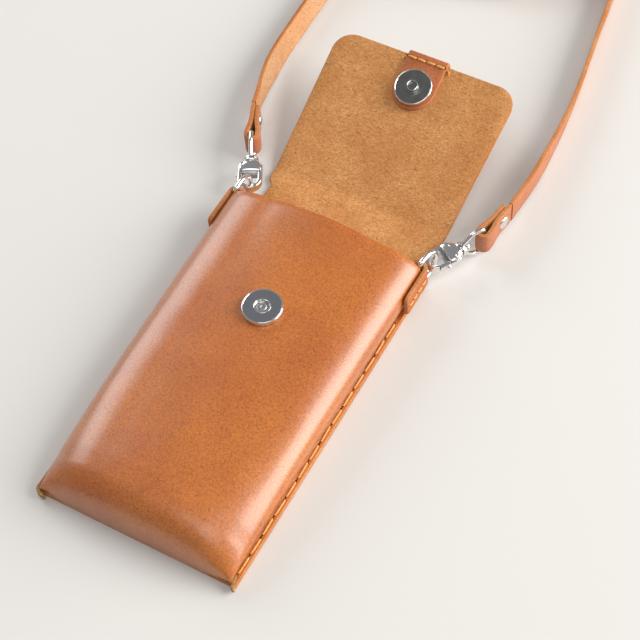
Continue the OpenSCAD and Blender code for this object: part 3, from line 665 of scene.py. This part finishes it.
add_grid(outer_rows, GRAIN, settled)
add_grid(inner_rows, FLESH, settled)
outer_mouth, inner_mouth = [settled(p) for p in outer_rows[-1]], [settled(p) for p in inner_rows[-1]]
mouth_rim = [outer_mouth]
for share, lip in ((0.15, 0.42), (0.5, 0.62), (0.85, 0.42)):
    mouth_rim.append([a.lerp(b, share) + Vector((0, lip, 0)) for a, b in zip(outer_mouth, inner_mouth)])
add_grid(mouth_rim + [inner_mouth], EDGE)
for column, bulge in ((0, 0.35), (-1, -0.35)):
    out = Vector((bulge, 0, 0))
    ends = [(outer[column], inner[column]) for outer, inner in zip(outer_rows[1:], inner_rows[1:])]
    add_grid([[a, a.lerp(b, 0.25) + out, a.lerp(b, 0.75) + out, b] for a, b in ends], EDGE)

# The bottom wall hangs from the rounded edge between the two side wings and turns under to the back
first_high = 4 + len(low_angles)
wall_top = outer_rows[0][first_high:-first_high]
wall_drop = [(1.0, 0.0, 0.0), (0.86, 0, 0.25), (0.7, 0, 0.6), (0.52, -0.05, 0.85), (0.36, -0.1, 1.0),
             (0.22, -0.1, 1.0), (0.1, 0.0, 1.0), (0.03, 0.35, 1.0), (0.0, 1.1, 1.0)]
wall_rows = []
for up, y, pull in wall_drop:
    row = []
    for p in wall_top:
        near_corner = (abs(p.x) / foot_line) ** 9
        row.append(Vector((p.x * (1 - pull * 0.05 * near_corner), y + pull * 0.9 * near_corner,
                           0.05 + (p.z - 0.05) * up)))
    wall_rows.append(row)
add_grid([[settled(p) for p in wall_rows[0]]] + wall_rows[1:], GRAIN)
wall_inner = [[Vector((p.x, 1.9, p.z)) for p in row] for row in wall_rows[:-1]]
add_grid(wall_inner, FLESH)
for column in (0, -1):
    add_grid([[row[column], inner[column]] for row, inner in zip(wall_rows, wall_inner)], EDGE)

front = make_piece("front_leather", shell_points, shell_faces, shell_slots, body_leather, sharp=55)
dress(front, "pouch", "body_leather", "front_shell")

# The two wings of the side walls end in raw, untrimmed tongues that stand a little past the fold
wing_raw = flesh_leather("wing_raw", (214, 172, 118), (196, 150, 96), (112, 70, 38), 1300, 1.0)
wing_height, wing_thick = 2.35, 1.5
for name, path in (("wing_left", [(-48.3, 3.2), (-48.7, 1.2), (-48.2, -0.5), (-46.4, -1.4), (-44.4, -1.9)]),
                   ("wing_right", [(47.6, 3.4), (48.1, 1.2), (48.8, -0.8), (49.5, -2.2)])):
    wing_line = smooth_line([(x, y, wing_height) for x, y in path], 0.5)
    wing_halves = [2.2 - 0.9 * (i / (len(wing_line) - 1)) ** 2
                   + 0.22 * noise.noise(Vector((i * 0.9, path[0][0], 0.5))) for i in range(len(wing_line))]
    wing = strip_piece(name, wing_line, wing_halves, wing_thick, UP, [body_grain, wing_raw, wing_raw],
                       across=2)
    dress(wing, "pouch", "body_leather")

# The seams. Thick waxed yellow thread holds each foot to the back in 14 long hand stitches.
# An awl makes the holes first; flat dark discs at both ends of each stitch are painted shade for the shadow
# inside these holes.
thread_wax, thread_tree, thread_shader = new_material("waxed_thread")
strands = noise_at(thread_tree, object_place(thread_tree), 2600.0, Detail=2.0)
strand_mask = spread(thread_tree, strands, 0.32, 0.6)
feed(thread_shader, {"Base Color": mixed(thread_tree, strand_mask, tone(206, 128, 44), tone(246, 184, 92)),
                     "Normal": bumped(thread_tree, strands, 0.5, 0.0002),
                     "Roughness": 0.5, "Sheen Weight": 0.2})

# Painted shade: a matt dark brown for the flat discs that stand for the shadow inside the awl holes
painted_hole_shade, awl_tree, awl_shader = new_material("awl_hole_painted_shade")
hole_shade_mask = spread(awl_tree, noise_at(awl_tree, object_place(awl_tree), 3000.0), 0.3, 0.7)
feed(awl_shader, {"Base Color": mixed(awl_tree, hole_shade_mask, tone(44, 22, 12), tone(78, 42, 24)),
                  "Roughness": 0.95, "Specular IOR Level": 0.05})

VECTOR, COUNT = "NodeSocketVector", "NodeSocketInt"
placing_sockets = [("Turn", VECTOR), ("Place", VECTOR), ("Material", "NodeSocketMaterial")]
real_mesh = [("Geometry", "NodeSocketGeometry")]


def vector_of(tree, **parts):
    return add_node(tree, "ShaderNodeCombineXYZ", parts)


def laid_in_place(tree, given, end, geometry):
    """Turns and moves the row, then ends the tree in real mesh with its material."""
    steps = (("GeometryNodeTransform", {"Rotation": given["Turn"], "Translation": given["Place"]}),
             ("GeometryNodeRealizeInstances", {}), ("GeometryNodeSetShadeSmooth", {}),
             ("GeometryNodeSetMaterial", {"Material": given["Material"]}))
    for kind, inputs in steps:
        geometry = add_node(tree, kind, {"Geometry": geometry, **inputs})
    feed(end, {"Geometry": geometry})


stitch_tree, given, stitch_end = new_group(
    "Row of stitches", "GeometryNodeTree",
    [("Stitches", COUNT), ("Pitch", NUMBER), ("Stitch Length", NUMBER), ("Thread Radius", NUMBER),
     ("Rise", NUMBER), ("Slant", NUMBER)] + placing_sockets, real_mesh)
thread_sink = -0.0003
half_length = scaled(stitch_tree, given["Stitch Length"], 0.5, 0)
arc = add_node(stitch_tree, "GeometryNodeCurveQuadraticBezier",
               {"Resolution": 10, "Start": vector_of(stitch_tree, Z=thread_sink),
                "Middle": vector_of(stitch_tree, X=given["Slant"], Y=half_length, Z=given["Rise"]),
                "End": vector_of(stitch_tree, Y=given["Stitch Length"], Z=thread_sink)})
strand = add_node(stitch_tree, "GeometryNodeCurvePrimitiveCircle",
                  {"Resolution": 10, "Radius": given["Thread Radius"]})
one_stitch = add_node(stitch_tree, "GeometryNodeCurveToMesh",
                      {"Fill Caps": True, "Curve": arc, "Profile Curve": strand})
stitch_starts = add_node(stitch_tree, "GeometryNodeMeshLine",
                         {"Count": given["Stitches"], "Offset": vector_of(stitch_tree, Y=given["Pitch"])})
most_askew = Vector((0.02, 0.02, 0.03))
uneven = add_node(stitch_tree, "FunctionNodeRandomValue",
                  {"Min": -most_askew, "Max": most_askew, "Seed": 4}, data_type="FLOAT_VECTOR")
all_stitches = add_node(stitch_tree, "GeometryNodeInstanceOnPoints",
                        {"Points": stitch_starts, "Instance": one_stitch, "Rotation": uneven})
laid_in_place(stitch_tree, given, stitch_end, all_stitches)

# Flat dark discs at both ends of each stitch, painted shade for the awl holes
hole_tree, given, hole_end = new_group(
    "Row of awl holes", "GeometryNodeTree",
    [("Holes", COUNT), ("Pitch", NUMBER), ("Stitch Length", NUMBER), ("Hole Radius", NUMBER)]
    + placing_sockets, real_mesh)
awl_point = add_node(hole_tree, "GeometryNodeMeshIcoSphere",
                     {"Subdivisions": 2, "Radius": given["Hole Radius"]})
flat_point = add_node(hole_tree, "GeometryNodeTransform",
                      {"Scale": (0.8, 1.25, 0.12), "Geometry": awl_point})
both_ends = add_node(hole_tree, "GeometryNodeJoinGeometry")
for start in ((0, 0, 0), vector_of(hole_tree, Y=given["Stitch Length"])):
    row = add_node(hole_tree, "GeometryNodeMeshLine", {"Count": given["Holes"], "Start Location": start,
                                                       "Offset": vector_of(hole_tree, Y=given["Pitch"])})
    holes = add_node(hole_tree, "GeometryNodeInstanceOnPoints", {"Points": row, "Instance": flat_point})
    feed(both_ends, {"Geometry": holes})
laid_in_place(hole_tree, given, hole_end, both_ends)


def baked(name, tree, values):
    """Runs a geometry node tree once and keeps the result as a plain mesh."""
    holder = add_object(name + "_maker", bpy.data.meshes.new(name + "_maker"))
    modifier = holder.modifiers.new("row", "NODES")
    modifier.node_group = tree
    for item in tree.interface.items_tree:
        if item.in_out == "INPUT" and item.name in values:
            modifier[item.identifier] = values[item.name]
    holder.update_tag()
    evaluated = holder.evaluated_get(bpy.context.evaluated_depsgraph_get())
    mesh = bpy.data.meshes.new_from_object(evaluated)
    mesh.name = name
    holder.modifiers.remove(modifier)
    bpy.data.objects.remove(holder)
    return add_object(name, mesh)


def stitch_row(name, body, node, count, pitch, length, radius, rise, slant, turn, place):
    """A row of stitches with flat dark discs of painted shade at its awl holes, on one body: measures in
    metres, its place in millimetres.
    """
    shared = {"Pitch": pitch, "Stitch Length": length, "Turn": turn, "Place": in_frame(place)}
    row = baked(name, stitch_tree, {**shared, "Stitches": count, "Thread Radius": radius, "Rise": rise,
                                    "Slant": slant, "Material": thread_wax})
    dress(row, body, "thread", node)
    holes = baked(name + "_holes", hole_tree, {**shared, "Holes": count, "Hole Radius": radius * 1.5,
                                               "Material": painted_hole_shade})
    dress(holes, body, "thread")


seam_line, seam_start, feet_height = 48, 5, 4.02
for side, sign in SIDES.items():
    stitch_row(f"seam_{side}", "pouch", f"side_stitches_{side}", count=14, pitch=0.010, length=0.0084,
               radius=0.00042, rise=0.0011, slant=0.0006 * sign, turn=(0, 0, 0),
               place=(seam_line * sign, seam_start, feet_height))

# The ring tabs. Two short straps of a redder, smoother leather fold over the side walls at the mouth.
# Four stitches along the outer leg hold the fold, and the bar of a ring lies in it.
tab_grain = grain_leather("tab_grain", (198, 116, 66), (176, 92, 44), (124, 56, 24), cloud_size=70,
                          grain_size=1200, gloss=0.55, relief=0.5)
tab_leather = [tab_grain, body_flesh, cut_edge]
tab_thick, tab_radius, tab_height = 1.8, 3.25, 11.6
tab_middle, tab_bend = 47.75, 167.46
tab_line = [(tab_middle - tab_radius, y) for y in (152.46, 155.3, 159.3, 163.3, 165.9)]
tab_line += [(tab_middle - tab_radius * cosine(a), tab_bend + tab_radius * sine(a))
             for a in range(0, 181, 15)]
tab_line += [(tab_middle + tab_radius, y) for y in (
    165.9, 163.3, 160.3, 157.3, 154.3, 151.8, 150.3, 149.3, 148.7, 148.46)]
tab_halves = [6.0] * (len(tab_line) - 4) + [5.9, 5.5, 4.8, 4.0]
for side, sign in SIDES.items():
    tab = strip_piece(f"ring_fold_{side}", [(x, y, tab_height) for x, y in tab_line], tab_halves, tab_thick,
                      UP, tab_leather, place=lambda p: Vector((p.x * sign, p.y, p.z)))
    dress(tab, "pouch", "strap_leather", f"ring_tab_{side}")
    stitch_row(f"tab_seam_{side}", "pouch", f"tab_stitches_{side}", count=4, pitch=0.0042, length=0.0033,
               radius=0.0004, rise=0.0009, slant=0.0002, turn=(0, math.pi / 2 * sign, 0),
               place=((tab_middle + tab_radius + tab_thick / 2 + 0.02) * sign, 150.4, tab_height))

# The D rings. Thick nickel wire, bent round and welded.
# The straight bar of each lies in the fold of its tab.
ring_wire, ring_bow, ring_arm = 1.2, 7.5, 4.8
ring_bar = (48.175, 168.191, 11.6)
ring_out = {"left": 0, "right": 8}


def wire_piece(name, line, radius, place, material, closed=False, around=18):
    """Round wire bent along a line."""
    line = [Vector(p) for p in line]
    side = (line[1] - line[0]).normalized().orthogonal().normalized()
    points = []
    for middle, ahead in zip(line, headings(line, closed)):
        side = (side - ahead * side.dot(ahead)).normalized()
        other = ahead.cross(side)
        for k in range(around):
            a = 2 * math.pi * k / around
            points.append(place(middle + side * radius * math.cos(a) + other * radius * math.sin(a)))
    faces = tube_faces(len(line), around, closed)
    if not closed:
        faces += [tuple(range(around)), tuple(range(len(points) - around, len(points)))]
    return make_piece(name, points, faces, [0] * len(faces), [material], sharp=60)


def rounded_corners(corners, radius):
    """An open line with its inner corners rounded."""
    corners = [Vector(corner) for corner in corners]
    line = corners[:1]
    for before, corner, after in zip(corners, corners[1:], corners[2:]):
        a = corner + (before - corner).normalized() * radius
        b = corner + (after - corner).normalized() * radius
        line += [a * (1 - t) ** 2 + corner * 2 * t * (1 - t) + b * t * t for t in [k / 6 for k in range(7)]]
    return line + corners[-1:]


ring_corner = [(0, ring_bow - 1.2), (0.35, ring_bow - 0.35), (1.2, ring_bow), (2.6, ring_bow)]
ring_outline = [(0, 1.2 - ring_bow), (0, -2), (0, 2)] + ring_corner
ring_outline += [(ring_arm + ring_bow * cosine(a), ring_bow * sine(a)) for a in range(90, -91, -9)]
ring_outline += [(y, -z) for y, z in ring_corner[:0:-1]]
for side, sign in SIDES.items():
    ring = wire_piece(f"wire_ring_{side}", [(0, y, z) for y, z in ring_outline], ring_wire,
                      swung_out(ring_bar, sign, ring_out[side]), bright_nickel, closed=True)
    dress(ring, f"ring_{side}", "nickel", f"d_ring_{side}")

# The clasps. Cast and plated swivel hooks: a flat round nose, a bulging hood and a sprung gate.
# A wire eye turns on the post behind the hood and carries the strap.
clasp_nose = {"left": (49.117, 181.331, 10), "right": (51.233, 179.31, 10)}
clasp_out = {"left": 27, "right": 33}
brushed_nickel = plated_metal("brushed_nickel", (0.62, 0.63, 0.64), 0.34, 0.5, rub_size=2600, relief=0.15)


def cast_piece(name, parts, place, materials=(bright_nickel,), sharp=45):
    """A cast piece of several closed forms, each of them rows of points and the slot of its material."""
    points, faces, slots = [], [], []
    for rows, slot in parts:
        start, around = len(points), len(rows[0])
        points += [place(p) for row in rows for p in row]
        skin = tube_faces(len(rows), around, start=start)
        skin += [tuple(range(start, start + around)), tuple(range(len(points) - around, len(points)))]
        faces += skin
        slots += [slot] * len(skin)
    return make_piece(name, points, faces, slots, materials, sharp=sharp)


def oval_row(y, half_x, half_z, power=2.6):
    """One cross section of the cast hood, between an oval and a box."""
    row = []
    for k in range(32):
        c, s = cosine(11.25 * k), sine(11.25 * k)
        row.append(Vector((half_x * math.copysign(abs(c) ** (2 / power), c), y,
                           half_z * math.copysign(abs(s) ** (2 / power), s))))
    return row


def visor_rows(face):
    """The hood's lip, which arches over the gate on one face of the clasp."""
    rows = []
    for y, wide, low, high in ((4.3, 4.7, 2.3, 2.45), (4.4, 4.95, 2.2, 2.75), (4.8, 5.15, 2.15, 3.05),
                               (5.5, 5.3, 2.15, 3.25), (6.4, 5.4, 2.15, 3.32), (7.4, 5.45, 2.15, 3.38)):
        upper = [(wide * cosine(a), low + (high - low) * sine(a) ** 0.55) for a in range(0, 181, 12)]
        lower = [(wide * k / 4, low) for k in (-3, -2, -1, 0, 1, 2, 3)]
        rows.append([Vector((x, y, z * face)) for x, z in upper + lower])
    return rows


def rail_rows(line, half_in, half_z, edge):
    """Rows of a flat rail with rounded edges along a line in its own plane."""
    line = [Vector((x, y, 0)) for x, y in line]
    return [[p + ahead.cross(UP) * a + UP * b for a, b in rounded_box(half_in, half_z, edge)]
            for p, ahead in zip(line, headings(line))]


gate_pin = (3.8, 8.608)
rail_reach = 4.8
rail = [(-rail_reach, y) for y in (8.2, 6, 4, 2)]
rail += [(rail_reach * cosine(a), rail_reach * sine(a)) for a in range(180, 343, 9)]
hood_rows = [oval_row(y, wide, high) for y, wide, high in (
    (6.0, 4.9, 2.2), (6.1, 5.15, 2.6), (6.5, 5.35, 3.0), (7.4, 5.5, 3.35), (8.4, 5.4, 3.45),
    (9.3, 5.05, 3.35), (10.1, 4.6, 3.1), (10.8, 4.1, 2.85), (11.2, 3.8, 2.7), (11.3, 3.6, 2.55))]
post_rows = [oval_row(y, r, r, 2) for y, r in (
    (11.0, 3.2), (11.15, 3.5), (11.5, 3.5), (11.8, 3.3), (11.82, 1.5), (15.2, 1.5), (15.22, 2.2),
    (15.5, 2.4), (16.1, 2.2), (16.4, 1.5))]
panel_half_x, panel_half_z, panel_edge = 4.45, 0.16, 0.12
panel_rows = []
for y, cut in ((3.0, 0.12), (3.036, 0.036), (3.12, 0), (7.28, 0), (7.364, 0.036), (7.4, 0.12)):
    outline = rounded_box(panel_half_x - cut, panel_half_z - cut, panel_edge - cut, (0, 30, 60, 90))
    panel_rows.append([Vector((x - 0.15, y, z - 1.94)) for x, z in outline])
bar_rows = rail_rows([(rail_reach, y) for y in (7.0, 5, 3, 1, -0.6)] + [(4.75, -1.25)], 1.0, 1.68, 0.5)
knob_rows = [[Vector((x, 2.88 + r * cosine(18 * k), r * sine(18 * k))) for k in range(20)]
             for x, r in ((5.6, 0.95), (6.3, 1.0), (6.6, 0.9), (6.78, 0.6))]
eye_rows = [[Vector((gate_pin[0] + r * cosine(15 * k), gate_pin[1] + r * sine(15 * k), z))
             for k in range(24)] for z, r in ((-1.4, 1.5), (-1.25, 1.7), (1.25, 1.7), (1.4, 1.5))]
hook_parts = [(rail_rows(rail, 1.0, 2.1, 0.55), 0), (hood_rows, 0), (visor_rows(1), 0), (visor_rows(-1), 0),
              (post_rows, 0), (panel_rows, 1)]
pin_outline = [(0, -3.15), (0.55, -3.12), (0.75, -2.95), (0.75, 2.95), (0.55, 3.12), (0, 3.15)]
base_rows = [oval_row(y, r, r * 0.94, 2.2) for y, r in (
    (12.0, 3.0), (12.1, 3.5), (12.5, 3.6), (13.6, 3.2), (14.6, 2.6), (14.95, 2.3), (15.0, 1.7))]
loop_side = [(0, 13.4, 2.9), (0, 18.73, 7.3), (0, 24.4, 7.3)]
loop = rounded_corners([(x, y, -z) for x, y, z in loop_side] + loop_side[::-1], 1.6)
loop_wire = 1.1
for side, sign in SIDES.items():
    on_clasp = swung_out(clasp_nose[side], sign, clasp_out[side])
    hook = cast_piece(f"clasp_hook_{side}", hook_parts, on_clasp, [bright_nickel, brushed_nickel], sharp=28)
    dress(hook, f"hook_body_{side}", "nickel", f"hook_{side}")
    gate = cast_piece(f"clasp_gate_{side}", [(bar_rows, 0), (knob_rows, 0), (eye_rows, 0)], on_clasp)
    dress(gate, f"gate_body_{side}", "nickel", f"gate_{side}")
    pin = lathe_piece(f"clasp_pin_{side}", pin_outline,
                      lambda p: on_clasp((gate_pin[0] + p.x, gate_pin[1] + p.y, p.z)), [bright_nickel],
                      around=24)
    dress(pin, f"hook_body_{side}", "nickel", f"gate_pin_{side}")
    base = cast_piece(f"clasp_base_{side}", [(base_rows, 0)], on_clasp)
    wire = wire_piece(f"clasp_eye_{side}", loop, loop_wire, on_clasp, bright_nickel)
    for piece in (base, wire):
        dress(piece, "pouch", "nickel", f"swivel_eye_{side}")
    on_strap += [hook, gate, pin, base, wire]

in_frame(strap_line[0])
[in_frame(p) for p in strap_line]

# The front half of the snap. A pressed steel cap covers a magnet in the front; its mirror face is tinted
# dark and bluish, a painted reflection of dark surroundings.
# A bright rolled rim runs round it, and a small well in the middle takes the stud.
# Painted reflection: the face's metal colour is darkened to stand for the dark surroundings that its mirror
# reflects
mirror_face_painted_dark = plated_metal("mirror_face_painted_dark", (0.54, 0.555, 0.6), 0.08, 0.18, rub_size=110, relief=0.5)
satin_nickel = plated_metal("satin_nickel", (0.52, 0.52, 0.5), 0.26, 0.42, rub_size=3000, relief=0.2)
snap_metals = [bright_nickel, mirror_face_painted_dark, satin_nickel]
BRIGHT, PAINTED_DARK_FACE, SATIN, WORN_PAINTED_DARK = range(4)
snap_place = Vector((0, 111.62, 25.73))
cap_rim = [(8.9, 0.05), (9.25, 0.3), (9.3, 0.8), (9.3, 1.6), (9.25, 1.98), (9.1, 2.25), (8.88, 2.36),
           (8.66, 2.33), (8.54, 2.2)]
socket_outline = [(0, 0.05)] + cap_rim + [
    (4.05, 2.2), (3.9, 2.21), (3.85, 2.33), (3.68, 2.42), (3.5, 2.4), (3.36, 2.2), (3.3, 1.6), (3.25, 1.45),
    (2.5, 1.4), (2.3, 1.52), (1.9, 1.5), (1.7, 1.38), (0.9, 1.36), (0.7, 1.46), (0, 1.46)]
socket_slots = [BRIGHT] * 9 + [PAINTED_DARK_FACE] * 2 + [BRIGHT] * 6 + [SATIN] * 7
socket = lathe_piece("snap_socket", socket_outline, lambda p: snap_place + p, snap_metals, socket_slots,
                     around=96)
dress(socket, "pouch", "snap_face", "front_snap_socket")
for name in ("front_snap_magnet", "front_snap_washer"):
    for material_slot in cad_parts[name].material_slots:
        material_slot.material = satin_nickel

# The flap tab. A tongue of the redder leather folds over the free edge and covers the foot of the stud.
# Four stitches cross it beside the fold, with the thread ends knotted on the flap at both sides.
snap_reach, tab_round, tab_half = 60.5, 10.8, 10.5
knot_line = [(10.3, 74.9, 0.1), (11.2, 74.8, 0.55), (12, 74.3, 0.5), (12.5, 73.6, 0.75), (12.1, 73.1, 0.4)]
knot_wire = 0.45


def on_flap(p):
    """From the flat flap, from its root and its inner side, to the raised flap."""
    return Vector((p[0], flap_crease + p[1] * math.cos(flap_lift) - p[2] * math.sin(flap_lift),
                   2 + p[1] * math.sin(flap_lift) + p[2] * math.cos(flap_lift)))


tongue_rows = [(snap_reach - tab_round * cosine(7.5 * k) * 0.999, 0.9, max(1.0, tab_round * sine(7.5 * k)))
               for k in range(13)]
tongue_rows += [(y, 0.9, tab_half + 0.3 * max(0, (69 - y) / 8)) for y in (63, 65.5, 68, 71, 74, 76, 76.8)]
tongue_rows += [(77.1 + 1.0 * sine(a), -1.0 + 1.9 * cosine(a), tab_half) for a in range(15, 166, 15)]
tongue_rows += [(y, -2.9, tab_half) for y in (76.8, 75, 73, 71, 69.6, 69.1)]
tongue = strip_piece("flap_tongue", [(0, y, z) for y, z, half in tongue_rows],
                     [half for y, z, half in tongue_rows], tab_thick, (1, 0, 0), tab_leather, across=8,
                     place=on_flap)
dress(tongue, "flap", "strap_leather", "flap_tab")
tongue_turn = (Matrix.Rotation(flap_lift, 3, "X") @ Matrix.Rotation(-math.pi / 2, 3, "Z")).to_euler()
stitch_row("tongue_seam", "flap", "flap_tab_stitches", count=4, pitch=0.005, length=0.0041, radius=0.00056,
           rise=0.0012, slant=0.0005, turn=tuple(tongue_turn), place=on_flap((-9.6, 75.2, 1.83)))

for name, sign in (("knot_left", 1), ("knot_right", -1)):
    knot = wire_piece(name, [(x * sign, y, z) for x, y, z in knot_line], knot_wire, on_flap, thread_wax,
                      around=10)
    dress(knot, "flap", "thread")

# The flap half of the snap. The same pressed cap, with a stud in the middle that drops into the well.
# Its tail goes through the flap and is spread into a low rivet head behind it.
stud_outline = [(0, 0.03)] + cap_rim + [
    (4.75, 2.2), (4.6, 2.21), (4.35, 2.27), (4.05, 2.28), (3.8, 2.22), (3.65, 2.21), (3.0, 2.2),
    (2.87, 2.25), (2.85, 2.5), (2.8, 3.4), (2.68, 3.7), (2.48, 3.8), (2.3, 3.7), (2.2, 3.3),
    (2.15, 2.6), (0, 2.5)]
stud_slots = [BRIGHT] * 9 + [WORN_PAINTED_DARK] * 8 + [BRIGHT] * 7 + [WORN_PAINTED_DARK]
# Painted reflection: the stud's face is darker still, to stand for the dark surroundings that its mirror
# reflects; its uneven roughness stands for wear
worn_mirror_painted_dark = plated_metal("worn_mirror_painted_dark", (0.29, 0.29, 0.275), 0.12, 0.34, rub_size=330, relief=0.3)
stud = lathe_piece("snap_stud", stud_outline, lambda p: on_flap((p.x, snap_reach + p.y, tab_thick + p.z)),
                   snap_metals + [worn_mirror_painted_dark], stud_slots, around=96)
dress(stud, "flap", "snap_face", "flap_snap_stud")
head_radius, head_rise = 4.5, 1.26
head_outline = [(head_radius * sine(a), head_rise * cosine(a)) for a in range(0, 91, 10)]
head_outline += [(4.1, -0.02), (0, -0.02)]
head = lathe_piece("stud_head", head_outline,
                   lambda p: on_flap((p.x, snap_reach + p.y, -leather_thick - p.z)), [bright_nickel],
                   around=48)
dress(head, "flap", "nickel", "flap_snap_washer")
